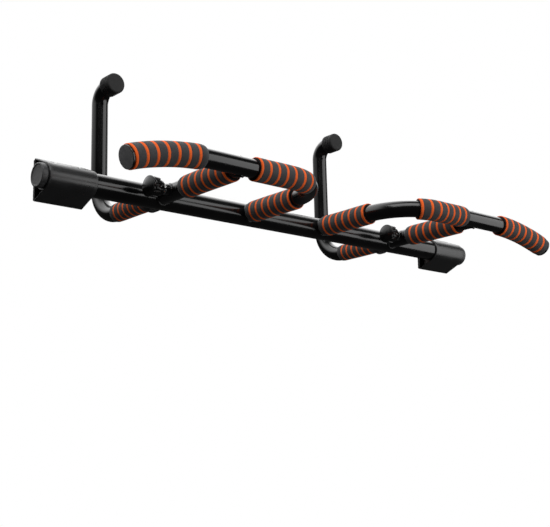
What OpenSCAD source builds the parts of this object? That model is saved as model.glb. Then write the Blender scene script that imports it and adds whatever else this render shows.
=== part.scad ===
// Doorway pull up bar with angled foam handles and two fold-in hook arms.
// Origin: middle of the main bar's axis. X along the bar, +Y towards the wall, +Z up.
// All sizes in millimetres.

/* [Main bar] */
// Length of the main tube
bar_length = 952; // [860:2:1060]
// Outside diameter of the main tube
bar_d = 38; // [34:0.5:45]
// Wall of the main tube
bar_wall = 1.5; // [1.2:0.1:2]
// Thickness of the visible disc of each end cap
bar_cap_rim = 9.5; // [3:0.5:12]

/* [Wall shoes] */
// Length of a shoe along the bar
shoe_length = 83; // [65:1:105]
// Wall of the shoe round the bar
shoe_wall = 3; // [2.5:0.25:5]
// Bar axis to the flat back of the shoe
shoe_depth = 27; // [25:0.5:36]
// Height of the flat back of the shoe
shoe_height = 68; // [60:1:84]
// Thickness of the ribbed pad on the back
pad_thickness = 4; // [3:0.25:6]
// Height of the ribs on the pad
pad_rib_h = 1.8; // [1:0.1:2.2]

/* [Handles] */
// Outside diameter of the handle tubes
tube_d = 28.6; // [25:0.1:32]
// Wall of the handle tubes
tube_wall = 1.5; // [1.2:0.1:2]
// Bar middle to the axis of an inner leg
inner_leg_x = 85.7; // [65:0.1:100]
// Bar middle to the axis of an outer leg
outer_leg_x = 267.5; // [262:0.5:280]
// Bar axis to the axis of the front tube
handle_depth = 214.6; // [190:0.1:260]
// Centreline radius of the bend from the inner leg to the front tube
handle_bend_r = 84; // [60:1:90]
// Bar middle to where the front tube starts to droop
droop_start_x = 323; // [300:1:350]
// Centreline radius of the drooping end
droop_r = 445; // [350:5:700]
// Length of the drooping end along its centreline
droop_length = 146; // [120:1:170]

/* [Foam grips] */
// Thickness of the foam
foam_t = 4.1; // [3:0.1:6]
// Length of the grips on the inner legs
inner_grip_length = 113.5; // [80:0.5:120]
// Length of the grips on the outer legs
outer_grip_length = 117.5; // [80:0.5:120]
// Space between the bar and the grip on an inner leg
inner_grip_gap = 1; // [0.5:0.5:2]
// Space between the bar and the grip on the left outer leg
left_grip_gap = 56.5; // [43:0.5:60]
// Space between the bar and the grip on the right outer leg
right_grip_gap = 43.5; // [43:0.5:60]
// Length of the left front grip
left_grip_length = 117; // [90:0.5:125]
// Length of the right front grip
right_grip_length = 111; // [90:0.5:125]
// Part of the left front grip that lies on the straight tube
left_grip_run = 74.2; // [50:0.1:78]
// Part of the right front grip that lies on the straight tube
right_grip_run = 69.5; // [50:0.1:78]
// Droop start to the beginning of the end grip, along the tube
end_grip_start = 17; // [5:1:30]

/* [Hook arms] */
// Wall of the arm tube
arm_wall = 1.5; // [1.2:0.1:2]
// Bar axis to the axis of the upright part of an arm
arm_y = 177; // [160:1:210]
// Centreline radius of the lower bend of an arm
arm_bend_r = 58; // [45:1:64]
// Bar axis to the axis of the hook at the top of an arm
hook_height = 236; // [190:1:246]
// Centreline radius of the bend at the hook
hook_bend_r = 26; // [22:1:34]
// Straight part of the hook
hook_reach = 23; // [18:1:34]
// Thickness of the rubber boot on the hook
boot_t = 4; // [3:0.25:6]
// Thickness of the foam on an arm
arm_foam_t = 2; // [1.5:0.1:3]

/* [Lock knobs] */
// Bar axis to the axis of a knob
knob_y = 49; // [46:0.5:50]
// Diameter of the knob's head
knob_d = 34; // [28:0.5:34]
// Length of the knob's head
knob_length = 27; // [20:0.5:30]
// Rise of the dome on the knob's face
knob_dome = 3.5; // [1:0.5:5]
// Number of flutes round the knob
knob_flutes = 10; // [8:1:16]
// Diameter of the threaded stud
stud_d = 8; // [7:0.5:10]
// Height of the nut between the knob's head and the washer
nut_height = 4.7; // [3:0.1:8]
// Size of that nut across its flats
nut_flats = 13; // [12:0.5:15]
// Diameter of the threaded boss on the leg
boss_d = 18; // [16:0.5:20]
// Length of the threaded boss
boss_length = 8; // [6:0.5:10]
// Turn of an arm between upright and folded
fold_angle = 90; // [60:5:90]

/* [Fits] */
// Radial play between an arm and what it turns in
run_clear = 0.08; // [0.03:0.01:0.1]
// Radial play of the stud in the boss
thread_clear = 0.05; // [0.03:0.01:0.1]
// Play round the stud's tip in the arm's slot
slot_clear = 0.3; // [0.3:0.05:0.6]
// Space between pieces that turn past each other
part_gap = 0.5; // [0.4:0.1:1]
// Weld gap where a leg meets the front tube
weld_gap = 0.05; // [0.05:0.05:0.2]

/* [Hidden] */
$fn = 64;
LEFT = -1;
RIGHT = 1;
// How far a cutting shape runs past the solid it cuts
over = 1;

// Main bar and end caps
bar_r = bar_d / 2;
bar_bore_r = bar_r - bar_wall;
bar_end = bar_length / 2;
cap_plug_length = 14;
cap_plug_wall = 2.5;
cap_dish = 0.8;
cap_rim_w = 3;

// Shoes: the shoe ends just short of the tube's end
shoe_setback = 1;
shoe_x1 = bar_end - shoe_setback;
shoe_x0 = shoe_x1 - shoe_length;
shoe_nose_r = bar_r + shoe_wall;
shoe_corner_r = 1.5;
// The slopes start just inside the nose, so that they cross it instead of touching it
tangent_inset = 0.05;
shoe_core_r = 3.4;
shoe_core_depth = 12;
pad_height = shoe_height - 2 * shoe_corner_r;
pad_ribs = 11;
pad_rib_w = 3.6;
pad_rib_draft = 0.6;
pad_end_gap = 1;

// Shoe screws: pan heads on spot faces on top of the shoe
screw_inset = 20;
screw_r = 2.1;
screw_head_r = 4.2;
screw_head_h = 2.4;
spot_r = 4.8;
spot_z = shoe_nose_r - 0.8;
screw_length = 9;

// Handles and foam
tube_r = tube_d / 2;
tube_bore_r = tube_r - tube_wall;
foam_r = tube_r + foam_t;
bend_cx = inner_leg_x + handle_bend_r;
bend_cy = -(handle_depth - handle_bend_r);
foam_end_gap = 0.3;
handle_cap_r = foam_r - 1.4;
handle_cap_t = 3;
handle_plug_length = 12;

// Arms: the same stock as the handles, with a tail swaged down to slide inside the outer leg
arm_r = tube_r;
arm_bore_r = arm_r - arm_wall;
arm_tail_r = tube_bore_r - run_clear;
arm_tail_bore_r = arm_tail_r - arm_wall;
arm_foam_r = arm_r + arm_foam_t;
arm_shoulder_t = 4;
arm_tail = 25;
arm_y0 = -(knob_y + arm_tail);
arm_y1 = arm_y - arm_bend_r;
hook_y1 = arm_y - hook_bend_r;
hook_y0 = hook_y1 - hook_reach;
boot_start_gap = 0.5;

// Bush: a sleeve in the bar's back wall with a saddle collar behind the bar
bush_sleeve_t = 1.4;
bush_sleeve_r = tube_bore_r + bush_sleeve_t;
bush_collar_r = bush_sleeve_r + 6.3;
bush_y0 = bar_r - 8;
bush_y1 = bar_r + 1;
arm_shoulder = bush_y1 + part_gap;

// Lock knobs, all measured from the leg's axis towards -X
stud_r = stud_d / 2;
dog_r = stud_r - 1;
boss_face = tube_r + boss_length;
washer_t = 1.6;
washer_r = boss_d / 2;
washer_gap = 0.3;
washer_face = boss_face + washer_gap + washer_t;
knob_back = washer_face + nut_height;
knob_face = knob_back + knob_length;
knob_hub_t = 7;
knob_hub_r = knob_d / 2 - 4.5;
knob_plate_t = 4.5;
knob_plate_round = 1.6;
knob_body_r = knob_d / 2 - 0.6;
knob_plate_face = knob_face - knob_dome;
knob_dome_steps = 8;
knob_flute_r = 2.5;
knob_socket = 12;
dog_shoulder = arm_tail_r + part_gap;
dog_tip = arm_tail_bore_r - 1.5;
slot_r = dog_r + slot_clear;

// Angle in degrees that a length along an arc covers
function arc_angle(length, radius) = length / radius * 180 / PI;

// Direction of the outer tangent from a circle of radius r1 at the origin to one of radius r2 at c
function tangent_angle(c, r1, r2) = atan2(c[1], c[0]) + acos((r1 - r2) / norm(c));
function polar(r, a) = [r * cos(a), r * sin(a)];

// Rods along the three axes, from one coordinate to the other, with an optional bore
module rod(length, r, bore) {
    if (bore == 0) cylinder(h = length, r = r);
    else difference() {
        cylinder(h = length, r = r);
        translate([0, 0, -over]) cylinder(h = length + 2 * over, r = bore);
    }
}
module rod_x(x0, x1, r, y = 0, z = 0, bore = 0) {
    translate([x0, y, z]) rotate([0, 90, 0]) rod(x1 - x0, r, bore);
}
module rod_y(y0, y1, r, x = 0, z = 0, bore = 0) {
    translate([x, y1, z]) rotate([90, 0, 0]) rod(y1 - y0, r, bore);
}
module rod_z(z0, z1, r, x = 0, y = 0, bore = 0) {
    translate([x, y, z0]) rod(z1 - z0, r, bore);
}

// Arc of a round rod, with an optional bore, about the Z axis from an angle through a sweep
module arc(bend_r, r, start, sweep, bore = 0) {
    rotate([0, 0, start]) rotate_extrude(angle = sweep) translate([bend_r, 0]) difference() {
        circle(r);
        if (bore > 0) circle(bore);
    }
}
// The same in the XZ plane or in the YZ plane
module arc_xz(centre, bend_r, r, start, sweep, bore = 0) {
    translate(centre) rotate([90, 0, 0]) arc(bend_r, r, start, sweep, bore);
}
module arc_yz(centre, bend_r, r, start, sweep, bore = 0) {
    translate(centre) rotate([90, 0, 90]) arc(bend_r, r, start, sweep, bore);
}

// Turns an outline drawn in YZ into a solid along X
module along_x(x0, x1) {
    translate([x0, 0, 0]) rotate([90, 0, 90]) linear_extrude(x1 - x0) children();
}

// Everything is drawn on the right side, and the left side is its mirror image
module on_side(side) {
    if (side == RIGHT) children();
    else mirror([1, 0, 0]) children();
}

// ---------- main bar ----------
module main_bar() color("#16171a") difference() {
    rod_x(-bar_end, bar_end, bar_r);
    rod_x(-bar_end - over, bar_end + over, bar_bore_r);
    for (side = [LEFT, RIGHT]) {
        // the arm enters through the back wall's bush and leaves into the leg
        rod_y(0, bar_d, bush_sleeve_r, side * outer_leg_x);
        rod_y(-bar_d, 0, tube_bore_r, side * outer_leg_x);
        for (x = screw_places()) rod_z(0, bar_d, screw_r, side * x);
    }
}

// Plug with a rimmed disc, closing an end of the main bar
module bar_cap(side) color("#2b2c2e") on_side(side) difference() {
    union() {
        rod_x(bar_end, bar_end + bar_cap_rim, bar_r);
        rod_x(bar_end - cap_plug_length, bar_end + over, bar_bore_r);
    }
    rod_x(bar_end - cap_plug_length - over, bar_end, bar_bore_r - cap_plug_wall);
    rod_x(bar_end + bar_cap_rim - cap_dish, bar_end + bar_cap_rim + over, bar_r - cap_rim_w);
}

// ---------- wall shoes ----------
function screw_places() = [shoe_x0 + screw_inset, shoe_x1 - screw_inset];

// Block in YZ from the round nose about the bar to a flat back with rounded corners.
// Its slopes run along the tangents between the nose and the corners.
module shoe_block() {
    corner = [shoe_depth - shoe_corner_r, shoe_height / 2 - shoe_corner_r];
    tangent_r = shoe_nose_r - tangent_inset;
    a = tangent_angle(corner, tangent_r, shoe_corner_r);
    upper = concat([polar(tangent_r, a)], [for (i = [0 : 6]) corner + polar(shoe_corner_r, a * (1 - i / 6))]);
    lower = [for (i = [len(upper) - 1 : -1 : 0]) [upper[i][0], -upper[i][1]]];
    along_x(shoe_x0, shoe_x1) polygon(concat(upper, lower));
}

// Moulded block on the bar's end, with cored corners and spot faces for its screws
module shoe(side) color("#1c1d1f") on_side(side) difference() {
    union() {
        rod_x(shoe_x0, shoe_x1, shoe_nose_r);
        shoe_block();
    }
    rod_x(shoe_x0 - over, shoe_x1 + over, bar_r);
    for (x = screw_places()) {
        rod_z(0, bar_d, screw_r, x);
        rod_z(spot_z, bar_d, spot_r, x);
    }
    core_y = shoe_depth - 2 * shoe_core_r;
    core_z = shoe_height / 2 - 4 * shoe_core_r;
    for (s = [1, -1]) {
        rod_x(shoe_x0 - over, shoe_x0 + shoe_core_depth, shoe_core_r, core_y, s * core_z);
        rod_x(shoe_x1 - shoe_core_depth, shoe_x1 + over, shoe_core_r, core_y, s * core_z);
    }
}

// Rubber sheet with ribs along the bar; the crests are flat and meet the wall
module shoe_pad(side) color("#101113") on_side(side) along_x(shoe_x0 + pad_end_gap, shoe_x1 - pad_end_gap) {
    sheet_y = shoe_depth + pad_thickness - pad_rib_h;
    crest_y = shoe_depth + pad_thickness;
    pitch = (pad_height - pad_rib_w) / (pad_ribs - 1);
    polygon(concat(
        [[shoe_depth, -pad_height / 2]],
        [for (i = [0 : pad_ribs - 1]) let (z = pitch * (i - (pad_ribs - 1) / 2)) each [
            [sheet_y, z - pad_rib_w / 2],
            [crest_y, z - pad_rib_w / 2 + pad_rib_draft],
            [crest_y, z + pad_rib_w / 2 - pad_rib_draft],
            [sheet_y, z + pad_rib_w / 2]
        ]],
        [[shoe_depth, pad_height / 2]]
    ));
}

module shoe_screws() color("silver") for (side = [LEFT, RIGHT]) for (x = screw_places()) {
    rod_z(spot_z, spot_z + screw_head_h, screw_head_r, side * x);
    rod_z(spot_z - screw_length, spot_z, screw_r, side * x);
}

// ---------- handles ----------
// Centre of the drooping end's arc
droop_centre = [droop_start_x, -handle_depth, -droop_r];

// Piece of the drooping end between two lengths along its centreline
module droop(r, s0, s1, bore = 0) {
    a0 = arc_angle(s0, droop_r);
    a1 = arc_angle(s1, droop_r);
    arc_xz(droop_centre, droop_r, r, 90 - a0, a0 - a1, bore);
}

// One bent tube: inner leg, bend, front tube and drooping end.
// It is coped where its inner leg is welded to the main bar.
module handle_tube(side) color("#16171a") on_side(side) {
    difference() {
        rod_y(bend_cy, 0, tube_r, inner_leg_x, 0, tube_bore_r);
        rod_x(0, outer_leg_x, bar_r);
    }
    translate([bend_cx, bend_cy, 0]) arc(handle_bend_r, tube_r, 180, 90, tube_bore_r);
    rod_x(bend_cx, droop_start_x, tube_r, -handle_depth, 0, tube_bore_r);
    droop(tube_r, 0, droop_length, tube_bore_r);
}

// Straight tube from the main bar to the front tube, with the knob's hole on its -X side
module outer_leg(side) color("#16171a") {
    x = side * outer_leg_x;
    difference() {
        rod_y(-handle_depth, 0, tube_r, x);
        rod_y(-handle_depth - over, over, tube_bore_r, x);
        rod_x(x - tube_d, x + tube_d, bar_r);
        rod_x(x - tube_d, x + tube_d, tube_r + weld_gap, -handle_depth);
        rod_x(x - tube_d, x, stud_r + thread_clear, -knob_y);
    }
}

// Plug and disc closing the drooping end
module handle_cap(side) color("#2b2c2e") on_side(side) {
    droop(tube_bore_r, droop_length - handle_plug_length, droop_length + over);
    translate(droop_centre) rotate([0, arc_angle(droop_length, droop_r), 0])
        rod_x(0, handle_cap_t, handle_cap_r, 0, droop_r);
}

// ---------- foam grips on the handles ----------
// The grip on an inner leg goes on round the bend with what is left of its length
module inner_leg_grip(side) color("#e2571e") on_side(side) {
    y = -bar_r - inner_grip_gap;
    rest = inner_grip_length - (y - bend_cy);
    rod_y(max(bend_cy, y - inner_grip_length), y, foam_r, inner_leg_x, 0, tube_r);
    if (rest > 0) translate([bend_cx, bend_cy, 0])
        arc(handle_bend_r, foam_r, 180, arc_angle(rest, handle_bend_r), tube_r);
}

module outer_leg_grip(side) color("#e2571e") {
    y = -bar_r - (side == LEFT ? left_grip_gap : right_grip_gap);
    rod_y(y - outer_grip_length, y, foam_r, side * outer_leg_x, 0, tube_r);
}

module front_grip(side) color("#e2571e") on_side(side) {
    run = side == LEFT ? left_grip_run : right_grip_run;
    wrap = (side == LEFT ? left_grip_length : right_grip_length) - run;
    translate([bend_cx, bend_cy, 0])
        arc(handle_bend_r, foam_r, 270, -arc_angle(wrap, handle_bend_r), tube_r);
    rod_x(bend_cx, bend_cx + run, foam_r, -handle_depth, 0, tube_r);
}

module end_grip(side) color("#e2571e") on_side(side)
    droop(foam_r, end_grip_start, droop_length - foam_end_gap, tube_r);

// ---------- hook arms ----------
// Nylon sleeve in the bar's back wall; its collar sits on the bar like a saddle
module arm_bush(side) color("#222326") {
    x = side * outer_leg_x;
    difference() {
        union() {
            rod_y(0, bush_y1, bush_sleeve_r, x);
            difference() {
                rod_y(bush_y0, bush_y1, bush_collar_r, x);
                rod_x(x - bar_d, x + bar_d, bar_r);
            }
        }
        rod_y(-over, bush_y1 + over, tube_bore_r, x);
    }
}

// Slot round the arm in which the stud's tip travels, between the upright and the folded place.
// The tip stays on the -X side while a left arm turns one way and a right arm the other.
module fold_slot(side, x) {
    start = side == LEFT ? 180 : 180 - fold_angle;
    translate([x, -knob_y, 0]) rotate([90, 0, 0]) {
        rotate([0, 0, start]) rotate_extrude(angle = fold_angle)
            translate([dog_r, -slot_r]) square([arm_tail_r - dog_r + over, 2 * slot_r]);
        for (a = [start, start + fold_angle])
            rotate([0, 0, a]) rotate([0, 90, 0]) cylinder(h = arm_tail_r + over, r = slot_r);
    }
}

// One bent tube: swaged tail, lower bend, upright, upper bend and hook
module arm_tube(side) color("#16171a") {
    x = side * outer_leg_x;
    difference() {
        union() {
            rod_y(arm_y0, arm_shoulder + over, arm_tail_r, x);
            rod_y(arm_shoulder, arm_y1, arm_r, x);
        }
        rod_y(arm_y0 - over, arm_shoulder + arm_shoulder_t + over, arm_tail_bore_r, x);
        rod_y(arm_shoulder + arm_shoulder_t, arm_y1 + over, arm_bore_r, x);
        fold_slot(side, x);
    }
    arc_yz([x, arm_y1, arm_bend_r], arm_bend_r, arm_r, -90, 90, arm_bore_r);
    rod_z(arm_bend_r, hook_height - hook_bend_r, arm_r, x, arm_y, arm_bore_r);
    arc_yz([x, hook_y1, hook_height - hook_bend_r], hook_bend_r, arm_r, 0, 90, arm_bore_r);
    rod_y(hook_y0, hook_y1, arm_r, x, hook_height, arm_bore_r);
}

module arm_grip(side) color("#e2571e")
    rod_y(arm_shoulder, arm_y1, arm_foam_r, side * outer_leg_x, 0, arm_r);

// Rubber boot over the hook, closed at its end
module hook_boot(side) color("#101113") difference() {
    rod_y(hook_y0 - boot_t, hook_y1 - boot_start_gap, arm_r + boot_t, side * outer_leg_x, hook_height);
    rod_y(hook_y0, hook_y1, arm_r, side * outer_leg_x, hook_height);
}

// ---------- lock knobs ----------
// Draws along -X from the leg's axis, at the knob's height
module from_leg(side) translate([side * outer_leg_x, -knob_y, 0]) rotate([0, -90, 0]) children();

// Threaded boss welded to the leg
module knob_boss(side) color("#16171a") difference() {
    from_leg(side) cylinder(h = boss_face, d = boss_d);
    rod_y(-knob_y - boss_d, -knob_y + boss_d, tube_r, side * outer_leg_x);
    from_leg(side) cylinder(h = boss_face + over, r = stud_r + thread_clear);
}

module knob_washer(side) color("silver") from_leg(side) difference() {
    translate([0, 0, boss_face + washer_gap]) cylinder(h = washer_t, r = washer_r);
    cylinder(h = knob_face, r = stud_r);
}

// Hexagonal nut locked against the back of the knob's head
module knob_nut(side) color("silver") from_leg(side) difference() {
    translate([0, 0, washer_face]) rotate([0, 0, 30])
        cylinder(h = nut_height, r = nut_flats / 2 / cos(30), $fn = 6);
    cylinder(h = knob_face, r = stud_r);
}

// Fluted head on a round hub, with a round domed plate on its face
module knob_head(side) color("#18191b") from_leg(side) difference() {
    plate_back = knob_plate_face - knob_plate_t;
    dome_r = knob_d / 2 - knob_plate_round;
    union() {
        translate([0, 0, knob_back]) cylinder(h = knob_hub_t + over, r = knob_hub_r);
        difference() {
            translate([0, 0, knob_back + knob_hub_t])
                cylinder(h = plate_back - knob_back - knob_hub_t + over, r = knob_body_r);
            for (i = [0 : knob_flutes - 1]) rotate([0, 0, i * 360 / knob_flutes])
                translate([knob_d / 2, 0, knob_back]) cylinder(h = knob_length, r = knob_flute_r);
        }
        translate([0, 0, plate_back]) rotate_extrude() {
            square([dome_r, knob_plate_t]);
            square([knob_d / 2, knob_plate_t - knob_plate_round]);
            translate([dome_r, knob_plate_t - knob_plate_round]) circle(knob_plate_round);
            polygon(concat([[0, 0]], [for (i = [0 : knob_dome_steps]) let (t = i / knob_dome_steps)
                [dome_r * (1 - t), knob_plate_t + knob_dome * (1 - (1 - t) * (1 - t))]]));
        }
    }
    translate([0, 0, knob_back - over]) cylinder(h = knob_socket + over, r = stud_r);
}

// Threaded stud, whose thinner tip rides in the arm's slot
module knob_stud(side) color("silver") from_leg(side) {
    translate([0, 0, dog_shoulder]) cylinder(h = knob_back + knob_socket - dog_shoulder, r = stud_r);
    translate([0, 0, dog_tip]) cylinder(h = dog_shoulder - dog_tip + over, r = dog_r);
}

main_bar();
bar_cap(LEFT);  // left_bar_cap
bar_cap(RIGHT);  // right_bar_cap
shoe(LEFT);  // left_shoe
shoe(RIGHT);  // right_shoe
shoe_pad(LEFT);  // left_shoe_pad
shoe_pad(RIGHT);  // right_shoe_pad
shoe_screws();
handle_tube(LEFT);  // left_handle_tube
handle_tube(RIGHT);  // right_handle_tube
outer_leg(LEFT);  // left_outer_leg
outer_leg(RIGHT);  // right_outer_leg
handle_cap(LEFT);  // left_handle_cap
handle_cap(RIGHT);  // right_handle_cap
inner_leg_grip(LEFT);  // left_inner_leg_grip
inner_leg_grip(RIGHT);  // right_inner_leg_grip
outer_leg_grip(LEFT);  // left_outer_leg_grip
outer_leg_grip(RIGHT);  // right_outer_leg_grip
front_grip(LEFT);  // left_front_grip
front_grip(RIGHT);  // right_front_grip
end_grip(LEFT);  // left_end_grip
end_grip(RIGHT);  // right_end_grip
arm_bush(LEFT);  // left_arm_bush
arm_bush(RIGHT);  // right_arm_bush
knob_boss(LEFT);  // left_knob_boss
knob_boss(RIGHT);  // right_knob_boss
arm_tube(LEFT);  // left_arm_tube
arm_tube(RIGHT);  // right_arm_tube
arm_grip(LEFT);  // left_arm_grip
arm_grip(RIGHT);  // right_arm_grip
hook_boot(LEFT);  // left_hook_boot
hook_boot(RIGHT);  // right_hook_boot
knob_head(LEFT);  // left_knob_head
knob_head(RIGHT);  // right_knob_head
knob_stud(LEFT);  // left_knob_stud
knob_stud(RIGHT);  // right_knob_stud
knob_washer(LEFT);  // left_knob_washer
knob_washer(RIGHT);  // right_knob_washer
knob_nut(LEFT);  // left_knob_nut
knob_nut(RIGHT);  // right_knob_nut
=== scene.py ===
"""Doorway pull up bar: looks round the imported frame.

Every surface is worked out with numpy as whole arrays, in metres, in the frame's own axes:
X along the bar, +Y towards the wall, +Z up, origin in the middle of the main bar.
"""
import math

import bmesh
import bpy
import numpy as np
from mathutils import Matrix, Vector


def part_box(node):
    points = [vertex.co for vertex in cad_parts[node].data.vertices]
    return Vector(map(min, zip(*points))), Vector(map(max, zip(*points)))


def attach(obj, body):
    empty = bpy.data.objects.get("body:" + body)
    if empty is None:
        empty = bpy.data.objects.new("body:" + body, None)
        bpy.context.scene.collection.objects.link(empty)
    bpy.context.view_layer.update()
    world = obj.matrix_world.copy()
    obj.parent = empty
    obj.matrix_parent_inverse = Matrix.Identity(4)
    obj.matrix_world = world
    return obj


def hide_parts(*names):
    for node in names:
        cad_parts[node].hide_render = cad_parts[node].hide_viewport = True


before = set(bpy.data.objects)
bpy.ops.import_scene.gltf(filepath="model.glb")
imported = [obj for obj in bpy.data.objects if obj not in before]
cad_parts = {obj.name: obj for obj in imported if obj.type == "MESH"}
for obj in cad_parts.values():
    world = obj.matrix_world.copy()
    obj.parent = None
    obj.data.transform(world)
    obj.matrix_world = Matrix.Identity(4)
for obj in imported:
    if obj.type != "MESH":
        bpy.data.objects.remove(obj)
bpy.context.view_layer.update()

MM = 0.001
SIDES = (("left", -1), ("right", 1))
X_AXIS = np.array([1.0, 0.0, 0.0])
Y_AXIS = np.array([0.0, 1.0, 0.0])
Z_AXIS = np.array([0.0, 0.0, 1.0])

# ---------------------------------------------------------------- sizes
# Read from the frame's boxes wherever a box gives them.


def low(node):
    """Lowest corner of a node's box at rest."""
    return np.array(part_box(node)[0])


def high(node):
    """Highest corner of a node's box at rest."""
    return np.array(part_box(node)[1])


def middle(node):
    """Middle of a node's box at rest."""
    return (low(node) + high(node)) / 2


def width(node, axis):
    """Size of a node's box along one axis, by number."""
    return float(high(node)[axis] - low(node)[axis])


def farthest_x(node):
    """How far from the middle of the bar a node reaches along X, either way."""
    return float(max(abs(low(node)[0]), abs(high(node)[0])))


BAR_R = width("main_bar", 2) / 2
BAR_END = float(high("main_bar")[0])
TUBE_R = width("right_outer_leg", 0) / 2
FOAM_R = width("right_outer_leg_grip", 0) / 2
ARM_R = width("right_arm_tube", 0) / 2
ARM_FOAM_R = width("right_arm_grip", 0) / 2
INNER_X = float(low("right_handle_tube")[0]) + TUBE_R
OUTER_X = float(middle("right_outer_leg_grip")[0])
FRONT_Y = float(low("right_handle_tube")[1]) + TUBE_R
HOOK_Z = float(middle("right_hook_boot")[2])
KNOB_Y = float(middle("right_knob_head")[1])

# Bends of the handle tube and lengths of foam along them, which no box gives
BEND_R = 84 * MM
INNER_GRIP_LENGTH = 113.5 * MM
FRONT_GRIP_LENGTH = {"left": 117 * MM, "right": 111 * MM}
DROOP_X = 323 * MM
DROOP_R = 445 * MM
DROOP_LENGTH = 146 * MM
DROOP_GRIP_START = 17 * MM
DROOP_GRIP_GAP = 0.3 * MM

# Foam: bands of orange and grey, an orange one first
FOAM_BANDS = 7
ORANGE_SHARE = 0.26
GROOVE_DEPTH = 0.35 * MM
GROOVE_WIDTH = 0.55 * MM
FOAM_ROUND_END = 11 * MM
FOAM_CUT_END = 1.2 * MM
FOAM_LIP = 1.1 * MM
FOAM_OVERLAP = 0.1 * MM
FOAM_WAVER = 0.06 * MM

# Welds
BEAD_R = 2.3 * MM
BEAD_PITCH = 2.2 * MM
BEAD_RIPPLE = 0.14

# Shoes, their screws and their pads
SHOE_CORNER_R = 1.8 * MM
SHOE_EDGE_R = 1.3 * MM
SHOE_WALL = 2 * MM
POCKET_DEPTH = 9 * MM
SCREW_INSET = 20 * MM
SCREW_HEAD_H = 2.4 * MM
SCREW_HEAD_R = 4.2 * MM
SCREW_SEAT_R = 4.8 * MM
PAD_RIBS = 11
RIB_W = 3.6 * MM
RIB_H = 1.8 * MM

# Knobs
KNOB_HUB_R = 12.5 * MM
KNOB_HUB_T = 7 * MM
KNOB_FLUTES = 10
FLUTE_R = 2.5 * MM
KNOB_PLATE_T = 4.5 * MM
KNOB_EDGE_R = 1.6 * MM
KNOB_DOME = 3.5 * MM

# Smoothness: degrees past which an edge is sharp, and points round a fillet
CREASE = 35
FILLET_STEPS = 6

# ---------------------------------------------------------------- mesh making


def quads(rows, cols, closed_rows, closed_cols):
    """Faces of a grid of rows by cols points, joined round either way where it is closed."""
    i = np.arange(rows if closed_rows else rows - 1)[:, None]
    j = np.arange(cols if closed_cols else cols - 1)[None, :]
    i2 = (i + 1) % rows
    j2 = (j + 1) % cols
    return np.stack([i * cols + j, i * cols + j2, i2 * cols + j2, i2 * cols + j], -1).reshape(-1, 4)


def signed_volume(points, faces):
    """Volume inside quad faces: a sixth of the sum of corner triple products, positive if they face out."""
    a, b, c, d = (points[faces[:, k]] for k in range(4))
    halves = np.einsum("ij,ij->i", a, np.cross(b, c)) + np.einsum("ij,ij->i", a, np.cross(c, d))
    return halves.sum() / 6


def make_piece(name, points, faces, body, finishes, face_finish=None, crease=CREASE, wear=None):
    """A mesh piece of points and quads: faces outwards, doubles merged, sharp past the crease angle."""
    if signed_volume(points, faces) < 0:
        faces = faces[:, ::-1]
    mesh = bpy.data.meshes.new(name)
    mesh.from_pydata(points.tolist(), [], faces.tolist())
    for finish in finishes:
        mesh.materials.append(finish)
    if face_finish is not None:
        mesh.polygons.foreach_set("material_index", np.asarray(face_finish, np.int32))
    worn = mesh.attributes.new("worn_edge", "FLOAT", "POINT")
    if wear is not None:
        worn.data.foreach_set("value", wear.astype(np.float32))
    tidy(mesh)
    mesh.shade_smooth()
    mesh.set_sharp_from_angle(angle=math.radians(crease))
    piece = bpy.data.objects.new(name, mesh)
    bpy.context.scene.collection.objects.link(piece)
    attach(piece, body)
    return piece


def tidy(mesh):
    """Merges coincident points, so that poles and seams are closed."""
    shell = bmesh.new()
    shell.from_mesh(mesh)
    bmesh.ops.remove_doubles(shell, verts=shell.verts, dist=1e-7)
    bmesh.ops.dissolve_degenerate(shell, edges=shell.edges, dist=1e-7)
    shell.to_mesh(mesh)
    shell.free()


def turned(vectors, axis, angles):
    """Rodrigues' turn of one vector or an array of them about a unit axis, by an angle or an array."""
    c = np.cos(angles)[..., None]
    s = np.sin(angles)[..., None]
    along = (vectors @ axis)[..., None] * axis
    return vectors * c + np.cross(axis, vectors) * s + along * (1 - c)


def line(start, direction, length):
    """Straight stretch of a centreline: (length, places and directions at lengths along it)."""
    start = np.asarray(start, float)
    direction = np.asarray(direction, float)

    def at(s):
        return start + s[:, None] * direction, np.broadcast_to(direction, (len(s), 3))
    return length, at


def bend(centre, spoke, axis, length):
    """Round stretch of a centreline: the spoke from the centre turns about the axis."""
    centre = np.asarray(centre, float)
    spoke = np.asarray(spoke, float)
    axis = np.asarray(axis, float)
    radius = np.linalg.norm(spoke)

    def at(s):
        arm = turned(np.broadcast_to(spoke, (len(s), 3)), axis, s / radius)
        return centre + arm, np.cross(axis, arm) / radius
    return length, at


def joined(*stretches):
    """One centreline from stretches end to end, as a function of the length along it."""
    ends = np.cumsum([0] + [length for length, _ in stretches])

    def at(s):
        places = np.zeros((len(s), 3))
        directions = np.zeros((len(s), 3))
        which = np.clip(np.searchsorted(ends, s, side="right") - 1, 0, len(stretches) - 1)
        for k, (_, stretch) in enumerate(stretches):
            here = which == k
            places[here], directions[here] = stretch(s[here] - ends[k])
        return places, directions
    return ends[-1], at


def backwards(length_and_path):
    """The same centreline run from its far end."""
    length, path = length_and_path

    def at(s):
        places, directions = path(length - s)
        return places, -directions
    return length, at


def sweep(path, lengths, radii, flat_axis, around):
    """Rings about a centreline that lies square to flat_axis: place + radius (cos a N + sin a B)."""
    places, directions = path(lengths)
    sides = np.cross(flat_axis, directions)
    a = np.linspace(0, 2 * np.pi, around, endpoint=False)
    rims = np.cos(a)[None, :, None] * sides[:, None, :] + np.sin(a)[None, :, None] * flat_axis
    radii = radii if radii.ndim == 2 else radii[:, None]
    return (places[:, None, :] + radii[..., None] * rims).reshape(-1, 3)


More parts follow.
